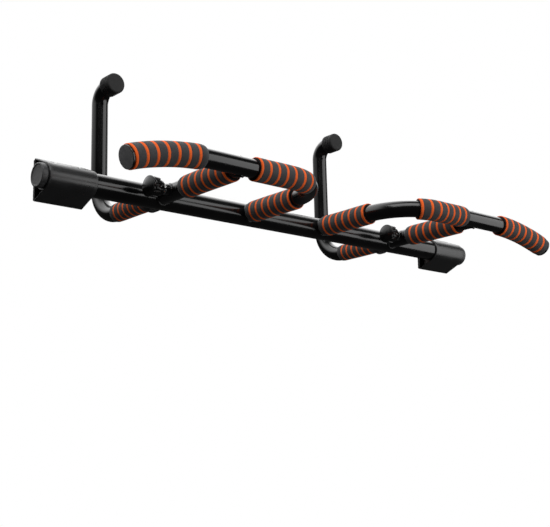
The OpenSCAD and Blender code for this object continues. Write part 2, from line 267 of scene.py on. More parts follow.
def round_corner(a, corner, b, radius):
    """Points of a fillet at a corner of an outline between points a and b."""
    a, corner, b = (np.asarray(p, float) for p in (a, corner, b))
    to_a = (a - corner) / np.linalg.norm(a - corner)
    to_b = (b - corner) / np.linalg.norm(b - corner)
    half = math.acos(np.clip(to_a @ to_b, -1, 1)) / 2
    reach = radius / math.tan(half)
    middle_way = (to_a + to_b) / np.linalg.norm(to_a + to_b)
    centre = corner + middle_way * radius / math.sin(half)
    first = corner + to_a * reach - centre
    last = corner + to_b * reach - centre
    t = np.linspace(0, 1, FILLET_STEPS)
    angle = math.acos(np.clip(first @ last / radius**2, -1, 1))
    blend = (np.sin((1 - t) * angle)[:, None] * first + np.sin(t * angle)[:, None] * last) / math.sin(angle)
    return centre + blend


def filleted(outline, radii):
    """An open outline with its inner corners rounded, and for each point 1 if it lies on a fillet."""
    points = [np.asarray(outline[0], float)[None]]
    edge = [np.zeros(1)]
    for k, radius in enumerate(radii, 1):
        if radius > 0:
            arc = round_corner(outline[k - 1], outline[k], outline[k + 1], radius)
        else:
            arc = np.asarray(outline[k], float)[None]
        points.append(arc)
        edge.append(np.full(len(arc), float(radius > 0)))
    points.append(np.asarray(outline[-1], float)[None])
    edge.append(np.zeros(1))
    return np.vstack(points), np.concatenate(edge)


def revolved(profile, centre, axis, around):
    """Rings of points: a profile of (height along the axis, radius) turned about the axis."""
    spoke = np.cross(axis, Z_AXIS if abs(axis[2]) < 0.9 else Y_AXIS)
    spoke /= np.linalg.norm(spoke)
    a = np.linspace(0, 2 * np.pi, around, endpoint=False)
    rims = turned(np.broadcast_to(spoke, (around, 3)), axis, a)
    rings = centre + profile[:, 0, None, None] * axis + profile[:, 1, None, None] * rims[None]
    return rings.reshape(-1, 3)


def lathe(name, outline, radii, centre, axis, body, finish, around=96, face=None):
    """An outline of (height along the axis, radius) with rounded corners, turned about the axis.

    With a face finish, it covers the end of the outline from its last rounded corner to the axis.
    """
    profile, edge = filleted(outline, radii)
    points = revolved(profile, centre, axis, around)
    faces = quads(len(profile), around, False, True)
    rings = np.zeros(len(profile) - 1, int)
    if face is not None:
        rings[int(np.flatnonzero(edge)[-1]):] = 1
    finishes = [finish] + ([face] if face else [])
    return make_piece(name, points, faces, body, finishes, np.repeat(rings, around),
                      wear=np.repeat(edge, around))


def make_cutter(points, faces):
    """A closed shape to cut with, its doubles merged and its faces outwards."""
    mesh = bpy.data.meshes.new("cutter")
    mesh.from_pydata(points.tolist(), [], faces)
    tidy(mesh)
    shell = bmesh.new()
    shell.from_mesh(mesh)
    bmesh.ops.recalc_face_normals(shell, faces=shell.faces)
    shell.to_mesh(mesh)
    shell.free()
    cutter = bpy.data.objects.new("cutter", mesh)
    bpy.context.scene.collection.objects.link(cutter)
    return cutter


def plug(centre, axis, radius, length, around=48):
    """A closed cylinder from a point along an axis, to cut with."""
    profile = np.array([(0, 0), (0, radius), (length, radius), (length, 0)])
    points = revolved(profile, centre, axis, around)
    return make_cutter(points, quads(len(profile), around, False, True).tolist())


def block(centre, wide, deep, tall):
    """A closed box about a point, to cut with."""
    corners = np.array([(x, y, z) for z in (-1, 1) for x, y in ((-1, -1), (1, -1), (1, 1), (-1, 1))])
    faces = [(3, 2, 1, 0), (4, 5, 6, 7), (0, 1, 5, 4), (1, 2, 6, 5), (2, 3, 7, 6), (3, 0, 4, 7)]
    return make_cutter(centre + corners * np.array([wide, deep, tall]) / 2, faces)


def cut_out(piece, cutters):
    """Cuts closed shapes out of a piece and applies the result, so that no modifier is left."""
    for cutter in cutters:
        step = piece.modifiers.new("cut", "BOOLEAN")
        step.operation = "DIFFERENCE"
        step.solver = "EXACT"
        step.object = cutter
    bpy.context.view_layer.update()
    shape = bpy.data.meshes.new_from_object(piece.evaluated_get(bpy.context.evaluated_depsgraph_get()))
    piece.modifiers.clear()
    piece.data = shape
    shape.shade_smooth()
    shape.set_sharp_from_angle(angle=math.radians(CREASE))
    for cutter in cutters:
        bpy.data.objects.remove(cutter)


# ---------------------------------------------------------------- shader groups


def group(name, inputs, outputs):
    """An empty shader node group with named sockets: (tree, its input node, its output node)."""
    tree = bpy.data.node_groups.new(name, "ShaderNodeTree")
    for label, kind, value in inputs:
        socket = tree.interface.new_socket(label, in_out="INPUT", socket_type=kind)
        if value is not None:
            socket.default_value = value
    for label, kind in outputs:
        tree.interface.new_socket(label, in_out="OUTPUT", socket_type=kind)
    return tree, tree.nodes.new("NodeGroupInput"), tree.nodes.new("NodeGroupOutput")


FLOAT, COLOUR, VECTOR = "NodeSocketFloat", "NodeSocketColor", "NodeSocketVector"


def put(tree, kind, values=None, **settings):
    """A node with its settings and its unlinked input values, by socket name or number."""
    node = tree.nodes.new(kind)
    for key, value in settings.items():
        setattr(node, key, value)
    for key, value in (values or {}).items():
        node.inputs[key].default_value = value
    return node


def maths(tree, operation, a, b=None, clamp=False):
    """A Math node whose inputs are sockets or numbers; gives its output socket."""
    node = put(tree, "ShaderNodeMath", operation=operation, use_clamp=clamp)
    for k, value in enumerate((a, b)):
        if value is None:
            continue
        if isinstance(value, (int, float)):
            node.inputs[k].default_value = value
        else:
            tree.links.new(value, node.inputs[k])
    return node.outputs[0]


def spread(tree, value, low_in, high_in, low_out=0.0, high_out=1.0):
    """A clamped Map Range of a socket; the limits are numbers or sockets."""
    node = put(tree, "ShaderNodeMapRange", clamp=True)
    tree.links.new(value, node.inputs["Value"])
    limits = {"From Min": low_in, "From Max": high_in, "To Min": low_out, "To Max": high_out}
    for label, limit in limits.items():
        if isinstance(limit, (int, float)):
            node.inputs[label].default_value = limit
        else:
            tree.links.new(limit, node.inputs[label])
    return node.outputs["Result"]


def mixed(tree, share, a, b):
    """A colour Mix of two sockets by a share socket; gives its output socket."""
    node = put(tree, "ShaderNodeMix", data_type="RGBA")
    tree.links.new(share, node.inputs["Factor"])
    tree.links.new(a, node.inputs[6])
    tree.links.new(b, node.inputs[7])
    return node.outputs[2]


def noise(tree, coordinates, scale, detail, roughness):
    """A noise texture's value on the coordinates; the scale is a number per metre or a socket."""
    node = put(tree, "ShaderNodeTexNoise", {"Detail": detail, "Roughness": roughness})
    tree.links.new(coordinates, node.inputs["Vector"])
    if isinstance(scale, (int, float)):
        node.inputs["Scale"].default_value = scale
    else:
        tree.links.new(scale, node.inputs["Scale"])
    return node.outputs[0]


def skin_group():
    """Any hard or rubbery surface: fine grain as bump, smudges in the gloss, dust on top, rubbed edges."""
    tree, given, result = group("used_skin", [
        ("Colour", COLOUR, None), ("Rubbed Colour", COLOUR, None), ("Dust Colour", COLOUR, None),
        ("Gloss Low", FLOAT, 0.2), ("Gloss High", FLOAT, 0.4),
        ("Grain Scale", FLOAT, 900.0), ("Grain Depth", FLOAT, 0.00005), ("Grain Strength", FLOAT, 0.2),
        ("Smudge Scale", FLOAT, 14.0), ("Dust", FLOAT, 0.1), ("Rub", FLOAT, 0.3),
    ], [("Colour", COLOUR), ("Roughness", FLOAT), ("Normal", VECTOR)])
    places = put(tree, "ShaderNodeTexCoord")
    here = places.outputs["Object"]
    smudge = spread(tree, noise(tree, here, given.outputs["Smudge Scale"], 4, 0.6), 0.38, 0.68)
    fine = noise(tree, here, 260.0, 5, 0.7)
    # dust settles where the surface faces up
    facing = put(tree, "ShaderNodeSeparateXYZ")
    tree.links.new(places.outputs["Normal"], facing.inputs[0])
    up = spread(tree, facing.outputs["Z"], 0.35, 0.95)
    patchy = spread(tree, noise(tree, here, 55.0, 6, 0.65), 0.4, 0.7)
    dust = maths(tree, "MULTIPLY", maths(tree, "MULTIPLY", up, patchy), given.outputs["Dust"])
    # rubbed edges come from the pieces' own attribute, broken up by fine noise
    edge = put(tree, "ShaderNodeAttribute", attribute_name="worn_edge")
    broken = spread(tree, fine, 0.46, 0.62)
    rub = maths(tree, "MULTIPLY", maths(tree, "MULTIPLY", edge.outputs["Fac"], broken), given.outputs["Rub"])
    # a smudge is a faint tone of the rubbed colour too
    tone = spread(tree, smudge, 0.0, 1.0, 0.0, 0.35)
    smeared = maths(tree, "MULTIPLY", tone, given.outputs["Rub"])
    base = mixed(tree, smeared, given.outputs["Colour"], given.outputs["Rubbed Colour"])
    rubbed = mixed(tree, rub, base, given.outputs["Rubbed Colour"])
    tree.links.new(mixed(tree, dust, rubbed, given.outputs["Dust Colour"]), result.inputs["Colour"])
    gloss = spread(tree, smudge, 0.0, 1.0, given.outputs["Gloss Low"], given.outputs["Gloss High"])
    dulled = maths(tree, "MULTIPLY", maths(tree, "ADD", dust, rub), 0.4)
    rough = maths(tree, "ADD", gloss, dulled, clamp=True)
    tree.links.new(rough, result.inputs["Roughness"])
    bump = put(tree, "ShaderNodeBump")
    tree.links.new(given.outputs["Grain Strength"], bump.inputs["Strength"])
    tree.links.new(given.outputs["Grain Depth"], bump.inputs["Distance"])
    tree.links.new(noise(tree, here, given.outputs["Grain Scale"], 2, 0.5), bump.inputs["Height"])
    tree.links.new(bump.outputs[0], result.inputs["Normal"])
    return tree


def foam_group():
    """Closed-cell foam: round cells as bump, soft blotches and darker pores."""
    tree, given, result = group("foam_cells", [
        ("Colour", COLOUR, None), ("Pore Colour", COLOUR, None),
        ("Cell Scale", FLOAT, 1300.0), ("Cell Depth", FLOAT, 0.0002), ("Blotch", FLOAT, 0.5),
    ], [("Colour", COLOUR), ("Roughness", FLOAT), ("Normal", VECTOR)])
    here = put(tree, "ShaderNodeTexCoord").outputs["Object"]
    cells = put(tree, "ShaderNodeTexVoronoi", feature="F1")
    tree.links.new(here, cells.inputs["Vector"])
    tree.links.new(given.outputs["Cell Scale"], cells.inputs["Scale"])
    blotch = spread(tree, noise(tree, here, 70.0, 4, 0.6), 0.35, 0.7)
    pores = spread(tree, noise(tree, here, 900.0, 3, 0.6), 0.5, 0.72)
    pitted = maths(tree, "MULTIPLY", pores, 0.45)
    shade = maths(tree, "ADD", pitted, maths(tree, "MULTIPLY", blotch, 0.4), clamp=True)
    share = maths(tree, "MULTIPLY", shade, given.outputs["Blotch"])
    colour = mixed(tree, share, given.outputs["Colour"], given.outputs["Pore Colour"])
    tree.links.new(colour, result.inputs["Colour"])
    tree.links.new(spread(tree, blotch, 0.0, 1.0, 0.72, 0.9), result.inputs["Roughness"])
    height = maths(tree, "ADD", cells.outputs["Distance"], maths(tree, "MULTIPLY", pores, -0.8))
    bump = put(tree, "ShaderNodeBump", {"Strength": 0.45})
    tree.links.new(given.outputs["Cell Depth"], bump.inputs["Distance"])
    tree.links.new(height, bump.inputs["Height"])
    tree.links.new(bump.outputs[0], result.inputs["Normal"])
    return tree


USED_SKIN = skin_group()
FOAM_CELLS = foam_group()


def material(name, surface_group, values, **shader_values):
    """A material: a Principled shader fed by one of the groups above with its own values."""
    made = bpy.data.materials.new(name)
    made.use_nodes = True
    tree = made.node_tree
    shader = tree.nodes["Principled BSDF"]
    surface = put(tree, "ShaderNodeGroup", node_tree=surface_group)
    for label, value in values.items():
        surface.inputs[label].default_value = value
    tree.links.new(surface.outputs["Colour"], shader.inputs["Base Color"])
    tree.links.new(surface.outputs["Roughness"], shader.inputs["Roughness"])
    tree.links.new(surface.outputs["Normal"], shader.inputs["Normal"])
    for label, value in shader_values.items():
        shader.inputs[label.replace("_", " ")].default_value = value
    return made


DUST_COLOUR = (0.32, 0.31, 0.29, 1)


def skin(name, colour, rubbed, gloss, grain, smudges, dust, rub, **shader_values):
    """A hard or rubbery finish. Gloss is (least, most) roughness, grain is (per metre, depth, strength)."""
    return material(name, USED_SKIN, {
        "Colour": (*colour, 1), "Rubbed Colour": (*rubbed, 1), "Dust Colour": DUST_COLOUR,
        "Gloss Low": gloss[0], "Gloss High": gloss[1],
        "Grain Scale": grain[0], "Grain Depth": grain[1], "Grain Strength": grain[2],
        "Smudge Scale": smudges, "Dust": dust, "Rub": rub,
    }, **shader_values)


def foam(name, colour, pores, blotch, **shader_values):
    """A closed-cell foam finish: its pores' colour, and how much of it shows."""
    return material(name, FOAM_CELLS, {
        "Colour": (*colour, 1), "Pore Colour": (*pores, 1),
        "Cell Scale": 1300.0, "Cell Depth": 0.0002, "Blotch": blotch,
    }, **shader_values)


GLOSS_BLACK = skin(
    "gloss_black_powder_coat", (0.0025, 0.0025, 0.0027), (0.012, 0.012, 0.0125), gloss=(0.14, 0.22),
    grain=(650.0, 0.00012, 0.1), smudges=16.0, dust=0.012, rub=0.4, Specular_IOR_Level=0.55)
SATIN_BLACK = skin(
    "satin_black_shoe", (0.013, 0.013, 0.0135), (0.032, 0.032, 0.033), gloss=(0.27, 0.35),
    grain=(1900.0, 0.0001, 0.3), smudges=24.0, dust=0.03, rub=0.5, Specular_IOR_Level=0.6)
RUBBER = skin(
    "black_rubber", (0.01, 0.01, 0.01), (0.04, 0.04, 0.04), gloss=(0.6, 0.78),
    grain=(1200.0, 0.00015, 0.35), smudges=30.0, dust=0.15, rub=0.5, Specular_IOR_Level=0.4)
GREY_PLASTIC = skin(
    "dark_grey_cap", (0.027, 0.027, 0.029), (0.07, 0.07, 0.07), gloss=(0.32, 0.45),
    grain=(1400.0, 0.00018, 0.5), smudges=60.0, dust=0.05, rub=0.6, Specular_IOR_Level=0.5)
CAP_FACE = skin(
    "mid_grey_cap_face", (0.11, 0.11, 0.114), (0.2, 0.2, 0.2), gloss=(0.5, 0.65),
    grain=(1100.0, 0.00022, 0.6), smudges=90.0, dust=0.05, rub=0.7, Specular_IOR_Level=0.4)
NYLON = skin(
    "black_nylon", (0.013, 0.013, 0.014), (0.05, 0.05, 0.05), gloss=(0.35, 0.45),
    grain=(1600.0, 0.0001, 0.25), smudges=30.0, dust=0.06, rub=0.5, Specular_IOR_Level=0.5)
KNOB_PLASTIC = skin(
    "black_knob_plastic", (0.003, 0.003, 0.0032), (0.025, 0.025, 0.025), gloss=(0.13, 0.22),
    grain=(1500.0, 0.00008, 0.2), smudges=40.0, dust=0.01, rub=0.5, Specular_IOR_Level=0.3)
STEEL = skin(
    "zinc_plated_steel", (0.62, 0.62, 0.61), (0.42, 0.42, 0.42), gloss=(0.16, 0.3),
    grain=(1800.0, 0.00005, 0.2), smudges=80.0, dust=0.05, rub=0.5, Metallic=1.0)

FOAM_ORANGE = foam(
    "orange_foam", (0.9, 0.14, 0.018), (0.5, 0.038, 0.011), blotch=0.5, Specular_IOR_Level=0.2)
FOAM_GREY = foam(
    "dark_grey_foam", (0.057, 0.056, 0.058), (0.026, 0.025, 0.026), blotch=0.8,
    Specular_IOR_Level=0.2, Sheen_Weight=0.1, Sheen_Roughness=0.5)
# painted shade: the foam's cut end face and its bore are black foam, standing for the shadow on the cut end
FOAM_END_SHADE_PAINT = foam(
    "black_foam_lining", (0.012, 0.012, 0.0125), (0.005, 0.005, 0.005), blotch=0.6, Specular_IOR_Level=0.25)

# ---------------------------------------------------------------- foam grips

# Finishes of a grip's faces, by number: the bands alternate between the first two, and the third is black
# paint standing for the shade on the cut end and bore
FOAM_FINISHES = [FOAM_ORANGE, FOAM_GREY, FOAM_END_SHADE_PAINT]
ORANGE, GREY, END_SHADE_PAINT = range(3)
ORANGE_STEPS, GREY_STEPS, BORE_STEPS = 9, 15, 25


def foam_profile(length, foam_r, bore_r):
    """Closed profile of a banded foam sleeve: (lengths, radii, finish of each ring to the next).

    The outside is a cylinder with a shallow round groove at each seam between bands, a cut end with a small
    fillet at the orange end, and a quarter ellipse at the grey end. The inside runs back along the tube, and
    it and the cut face are painted black: painted shade for the cut end in shadow.
    """
    pitch = length / FOAM_BANDS
    starts = pitch * np.arange(FOAM_BANDS)
    seams = np.sort(np.concatenate([starts, starts + pitch * ORANGE_SHARE]))[1:]
    bands = np.concatenate([[0], seams, [length]])
    # points crowd towards the seams, as a cosine of even steps
    steps = [ORANGE_STEPS, GREY_STEPS] * FOAM_BANDS
    lengths = np.concatenate([
        a + (b - a) * (1 - np.cos(np.linspace(0, np.pi, n, endpoint=False))) / 2
        for a, b, n in zip(bands[:-1], bands[1:], steps)] + [[length]])
    shade = np.where(np.searchsorted(seams, lengths + 1e-9, side="left") % 2, GREY, ORANGE)
    groove = GROOVE_DEPTH * np.exp(-np.min(np.abs(lengths[:, None] - seams), 1) ** 2 / GROOVE_WIDTH**2)
    radii = foam_r - groove
    # grey end: a quarter ellipse from the outside down to a thin lip on the tube
    into = np.clip((lengths - (length - FOAM_ROUND_END)) / FOAM_ROUND_END, 0, 1)
    lip = bore_r + FOAM_LIP
    radii = np.where(into > 0, lip + (radii - lip) * np.sqrt(1 - into**2), radii)
    # orange end: a cut face painted black as painted shade, then a small orange fillet up to the outside
    turn = np.linspace(0, np.pi / 2, FILLET_STEPS)
    keep = lengths > FOAM_CUT_END
    start_s = np.concatenate([[0.0], FOAM_CUT_END * (1 - np.cos(turn))])
    start_r = np.concatenate([[bore_r], foam_r - FOAM_CUT_END + FOAM_CUT_END * np.sin(turn)])
    back = np.linspace(length, 0, BORE_STEPS, endpoint=False)
    all_s = np.concatenate([start_s, lengths[keep], back])
    all_r = np.concatenate([start_r, radii[keep], np.full(BORE_STEPS, bore_r)])
    finish = np.concatenate([
        [END_SHADE_PAINT], np.full(FILLET_STEPS, ORANGE), shade[keep], np.full(BORE_STEPS, END_SHADE_PAINT)])
    return all_s, all_r, finish


def foam_grip(node, length_and_path, flat_axis, foam_r, tube_r, body, around=72):
    """A banded foam sleeve swept along its tube, from its orange end: it stands for a CAD grip."""
    name = node + "_foam"
    length, path = length_and_path
    bore_r = tube_r - FOAM_OVERLAP
    s, r, finish = foam_profile(length, foam_r, bore_r)
    a = np.linspace(0, 2 * np.pi, around, endpoint=False)
    # the foam is cut and stretched by hand: its outside wavers by a tenth of a millimetre
    phase = sum(map(ord, name)) * 0.37
    waver = np.sin(3 * a + 55 * s[:, None] + phase) + np.sin(2 * a - 95 * s[:, None] + 2 * phase)
    rings = r[:, None] + np.where(r[:, None] > bore_r + FOAM_LIP, FOAM_WAVER * waver, 0.0)
    points = sweep(path, s, rings, flat_axis, around)
    faces = quads(len(s), around, True, True)
    piece = make_piece(name, points, faces, body, FOAM_FINISHES, np.repeat(finish, around),
                       crease=60)
    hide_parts(node)


def inner_leg_path(word, side):
    """The first of the inner bend, from the orange end, and then the inner leg up to the bar."""
    corner = FRONT_Y + BEND_R
    straight = float(high(f"{word}_inner_leg_grip")[1]) - corner
    wrap = INNER_GRIP_LENGTH - straight
    centre = np.array([side * (INNER_X + BEND_R), corner, 0])
    spoke = turned(np.array([-side * BEND_R, 0.0, 0.0]), Z_AXIS * side, wrap / BEND_R)
    return joined(
        bend(centre, spoke, -Z_AXIS * side, wrap),
        line((side * INNER_X, corner, 0), (0, 1, 0), straight))


def leg_path(node, side):
    """Straight along Y from one end of a grip on an outer leg or an arm to the other."""
    return line((side * OUTER_X, float(low(node)[1]), 0), Y_AXIS, width(node, 1))


def front_path(word, side):
    """The last of the inner bend and the start of the front tube, from the middle outwards."""
    centre = np.array([side * (INNER_X + BEND_R), FRONT_Y + BEND_R, 0])
    run = farthest_x(f"{word}_front_grip") - INNER_X - BEND_R
    wrap = FRONT_GRIP_LENGTH[word] - run
    spoke = turned(np.array([0, -BEND_R, 0.0]), Z_AXIS * side, -wrap / BEND_R)
    return joined(
        bend(centre, spoke, Z_AXIS * side, wrap),
        line((side * (INNER_X + BEND_R), FRONT_Y, 0), (side, 0, 0), run))


def droop_path(side, start, end):
    """Part of the drooping end of the front tube, outwards."""
    centre = np.array([side * DROOP_X, FRONT_Y, -DROOP_R])
    spoke = turned(np.array([0, 0, DROOP_R]), Y_AXIS * side, start / DROOP_R)
    return bend(centre, spoke, Y_AXIS * side, end - start)


def make_grips():
    """Four grips on each handle and one on each arm. Along the front both sides start at their left end."""
    for word, side in SIDES:
        leg, front, end, arm = (f"{word}_{kind}_grip" for kind in ("outer_leg", "front", "end", "arm"))
        foam_grip(f"{word}_inner_leg_grip", inner_leg_path(word, side), Z_AXIS, FOAM_R, TUBE_R, "frame")
        foam_grip(leg, leg_path(leg, side), Z_AXIS, FOAM_R, TUBE_R, "frame")
        outwards = front_path(word, side)
        foam_grip(front, backwards(outwards) if side < 0 else outwards, Z_AXIS, FOAM_R, TUBE_R, "frame")
        outwards = droop_path(side, DROOP_GRIP_START, DROOP_LENGTH - DROOP_GRIP_GAP)
        foam_grip(end, backwards(outwards) if side < 0 else outwards, Y_AXIS, FOAM_R, TUBE_R, "frame")
        foam_grip(arm, leg_path(arm, side), Z_AXIS, ARM_FOAM_R, ARM_R, f"{word}_arm")


# ---------------------------------------------------------------- welds


def weld_bead(name, seam, normals, around=12):
    """A rippled bead along a closed seam: a small circle, swelling with each drop of weld."""
    forward = np.roll(seam, -1, 0) - np.roll(seam, 1, 0)
    forward /= np.linalg.norm(forward, axis=1)[:, None]
    out = normals - (normals * forward).sum(1)[:, None] * forward
    out /= np.linalg.norm(out, axis=1)[:, None]
    side = np.cross(forward, out)
    step = np.linalg.norm(np.roll(seam, -1, 0) - seam, axis=1)
    along = np.cumsum(step)
    drops = max(8, round(along[-1] / BEAD_PITCH))
    ripple = np.abs(np.sin(np.pi * drops * along / along[-1]))
    radius = BEAD_R * (1 - BEAD_RIPPLE + BEAD_RIPPLE * np.sqrt(ripple))
    a = np.linspace(0, 2 * np.pi, around, endpoint=False)
    rims = np.cos(a)[None, :, None] * out[:, None, :] + np.sin(a)[None, :, None] * side[:, None, :]
    points = (seam[:, None, :] + radius[:, None, None] * rims).reshape(-1, 3)
    faces = quads(len(seam), around, True, True)
    make_piece(name, points, faces, "frame", [GLOSS_BLACK], crease=70)


def tube_seam(leg_r, run_r, centre, leg_way, steps=360):
    """A leg along Y meets a tube along X: the leg's circle laid on the tube, and normals between the two."""
    a = np.linspace(0, 2 * np.pi, steps, endpoint=False)
    x = leg_r * np.cos(a)
    z = leg_r * np.sin(a)
    y = np.sqrt(np.maximum(run_r**2 - z**2, 0))
    seam = centre + np.stack([x, leg_way * y, z], 1)
    leg_normal = np.stack([np.cos(a), np.zeros(steps), np.sin(a)], 1)
    run_normal = np.stack([np.zeros(steps), leg_way * y, z], 1) / run_r
    return seam, leg_normal + run_normal


def make_welds():
    """Beads where the legs meet the bar and the front tube, and where the knob bosses meet the legs."""
    for word, side in SIDES:
        for leg, x in (("inner", INNER_X), ("outer", OUTER_X)):
            seam, normals = tube_seam(TUBE_R, BAR_R, np.array([side * x, 0, 0]), -1)
            weld_bead(f"{word}_{leg}_leg_bar_weld", seam, normals)
        # leg and front tube are as wide as each other: a hair less keeps the seam off the tube's sides
        seam, normals = tube_seam(TUBE_R * 0.995, TUBE_R, np.array([side * OUTER_X, FRONT_Y, 0]), 1)
        weld_bead(f"{word}_outer_leg_front_weld", seam, normals)
        # the boss stands along -X on the leg, so its seam is the same curve with X and Y exchanged
        boss_r = width(f"{word}_knob_boss", 2) / 2
        seam, normals = tube_seam(boss_r, TUBE_R, np.zeros(3), -1, 240)
        swap = np.array([[0, 1, 0], [1, 0, 0], [0, 0, 1]], float)
        place = np.array([side * OUTER_X, KNOB_Y, 0])
        weld_bead(f"{word}_knob_boss_weld", seam @ swap + place, normals @ swap)


# ---------------------------------------------------------------- shoes and pads


def shoe_section(nose_r, back_y, half_height, corner_r):
    """Outline of a shoe in YZ, as points round it: nose arc, slope, rounded corner, flat back, mirrored."""
    corner = np.array([back_y - corner_r, half_height - corner_r])
    a = math.atan2(corner[1], corner[0]) + math.acos((nose_r - corner_r) / np.linalg.norm(corner))
    nose = np.linspace(math.pi, a, 60, endpoint=False)
    slope = np.linspace(0, 1, 10, endpoint=False)[:, None]
    nose_end = nose_r * np.array([math.cos(a), math.sin(a)])
    corner_start = corner + corner_r * np.array([math.cos(a), math.sin(a)])
    turn = np.linspace(a, 0, 10)
    back = np.linspace(corner[1], 0, 12, endpoint=False)[1:]
    upper = np.vstack([
        np.stack([nose_r * np.cos(nose), nose_r * np.sin(nose)], 1),
        nose_end + slope * (corner_start - nose_end),
        corner + corner_r * np.stack([np.cos(turn), np.sin(turn)], 1),
        np.stack([np.full(len(back), back_y), back], 1),
        [[back_y, 0]],
    ])
    return np.vstack([upper, (upper[1:-1] * [1, -1])[::-1]])


def inset(outline, distance):
    """The outline moved inwards along its normals, by a small distance."""
    along = np.roll(outline, -1, 0) - np.roll(outline, 1, 0)
    along /= np.linalg.norm(along, axis=1)[:, None]
    normal = np.stack([along[:, 1], -along[:, 0]], 1)
    if (normal * outline).sum() > 0:
        normal = -normal
    return outline + normal * distance


def pocket(outline, up, x0, x1):
    """A prism to hollow one corner of a shoe with: between a circle round the bar and an inner outline."""
    r_in = BAR_R + SHOE_WALL
    least_depth = 0.8 * MM
    reach = np.linalg.norm(outline, axis=1)
    angles = np.arctan2(outline[:, 1] * up, outline[:, 0])
    order = np.argsort(angles)
    turn = np.linspace(math.radians(24), math.radians(100), 60)
    r_out = np.interp(turn, angles[order], reach[order])
    wide = r_out > r_in + least_depth
    way = np.stack([np.cos(turn[wide]), up * np.sin(turn[wide])], 1)
    ring = np.vstack([way * r_out[wide, None], (way * r_in)[::-1]])
    points = np.vstack([np.column_stack([np.full(len(ring), x), ring]) for x in (x0, x1)])
    n = len(ring)
    return make_cutter(
        points, quads(2, n, False, True).tolist() + [list(range(n)), list(range(2 * n - 1, n - 1, -1))])


def make_shoe(word, side):
    """A shoe: its outline carried along X with rounded ends, joined to the round bore at both ends.

    Each end has a pocket above and below the bar, and the top has two seats for the screws' heads.
    """
    node = f"{word}_shoe"
    x0, x1 = sorted((abs(float(low(node)[0])), abs(float(high(node)[0]))))
    outline = shoe_section(-float(low(node)[1]), float(high(node)[1]), float(high(node)[2]), SHOE_CORNER_R)
    bore = outline / np.linalg.norm(outline, axis=1)[:, None] * BAR_R
    # an end's edge is a quarter circle, from the side in to the end face: (distance from the end, ring)
    turn = np.linspace(0, math.pi / 2, FILLET_STEPS)
    edge = [(SHOE_EDGE_R * (1 - math.sin(t)), inset(outline, SHOE_EDGE_R * (1 - math.cos(t)))) for t in turn]
    halfway = (bore + edge[-1][1]) / 2
    # stations along X: (distance from the middle, ring, how worn)
    stations = [(x0, bore, 0), (x0, halfway, 0)]
    stations += [(x0 + back, ring, 1) for back, ring in edge[::-1]]
    stations += [(x, outline, 0) for x in np.linspace(x0, x1, 13)[1:-1]]
    stations += [(x1 - back, ring, 1) for back, ring in edge]
    stations += [(x1, halfway, 0), (x1, bore, 0)]
    points = np.vstack([np.column_stack([np.full(len(ring), side * x), ring]) for x, ring, _ in stations])
    wear = np.repeat([worn for _, _, worn in stations], len(outline)).astype(float)
    faces = quads(len(stations), len(outline), True, True)
    piece = make_piece(node + "_block", points, faces, "frame", [SATIN_BLACK], wear=wear)
    hollow = inset(outline, SHOE_WALL)
    past = 2 * MM
    cutters = [
        pocket(hollow, up, side * (x - way * past), side * (x + way * POCKET_DEPTH))
        for up in (1, -1) for x, way in ((x0, 1), (x1, -1))]
    seat_z = high("shoe_screws")[2] - SCREW_HEAD_H
    for x in screw_places(word):
        cutters.append(plug(np.array([x, 0, seat_z]), Z_AXIS, SCREW_SEAT_R, 10 * MM))
    cut_out(piece, cutters)
    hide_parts(node)


def make_pad(word):
    """The ribbed pad: rounded ribs along X on a thin sheet, cut square at its ends."""
    node = f"{word}_shoe_pad"
    y0, y1 = float(low(node)[1]), float(high(node)[1])
    half = float(high(node)[2])
    pitch = (2 * half - RIB_W) / (PAD_RIBS - 1)
    # a rib's side is a raised cosine, flattened at its crest so that it stands on the wall
    t = np.linspace(-0.5, 0.5, 13)
    hump = np.minimum(1, 1.25 * (1 + np.cos(2 * np.pi * t)) / 2)
    z = (pitch * (np.arange(PAD_RIBS) - (PAD_RIBS - 1) / 2))[:, None] + RIB_W * t
    y = y1 - RIB_H + RIB_H * np.broadcast_to(hump, z.shape)
    front = np.column_stack([np.full(30, y0), np.linspace(half, -half, 30)])
    outline = np.vstack([np.column_stack([y.ravel(), z.ravel()]), front])
    x0, x1 = float(low(node)[0]), float(high(node)[0])
    centre = np.array([(y0 + y1) / 2, 0])
    # each end face is the outline drawn in to one point
    stations = [(x0, 0.0), (x0, 1.0), (x1, 1.0), (x1, 0.0)]
    rings = [(np.full(len(outline), x), centre + (outline - centre) * size) for x, size in stations]
    points = np.vstack([np.column_stack(ring) for ring in rings])
    faces = quads(len(stations), len(outline), False, True)
    piece = make_piece(node + "_ribs", points, faces, "frame", [RUBBER], crease=50)
    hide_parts(node)


def screw_places(word):
    """X of the two screws in one shoe, each set in from an end."""
    return float(low(f"{word}_shoe")[0]) + SCREW_INSET, float(high(f"{word}_shoe")[0]) - SCREW_INSET


def make_screws():
    """Four screws on top of the shoes: pan heads with a crossed recess, on their shanks."""
    top = float(high("shoe_screws")[2])
    shank_r, shank_l = 2 * MM, 9 * MM
    outline = [
        (-shank_l, 0), (-shank_l, shank_r), (0, shank_r), (0, SCREW_HEAD_R), (1.1 * MM, SCREW_HEAD_R),
        (SCREW_HEAD_H, 2.2 * MM), (SCREW_HEAD_H, 0)]
    radii = [0, 0, 0.2 * MM, 0.5 * MM, 1.5 * MM]
    slot_l, slot_w, slot_t = 4.4 * MM, 0.9 * MM, 1.6 * MM
    heads = []
    for word, _ in SIDES:
        for x in screw_places(word):
            head = lathe(f"screw_{word}_{len(heads)}", outline, radii, np.array([x, 0, top - SCREW_HEAD_H]),
                         Z_AXIS, "frame", STEEL, 48)
            crown = np.array([x, 0, top])
            cut_out(head, [block(crown, slot_l, slot_w, slot_t), block(crown, slot_w, slot_l, slot_t)])
            heads.append(head)
    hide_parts("shoe_screws")


# ---------------------------------------------------------------- caps


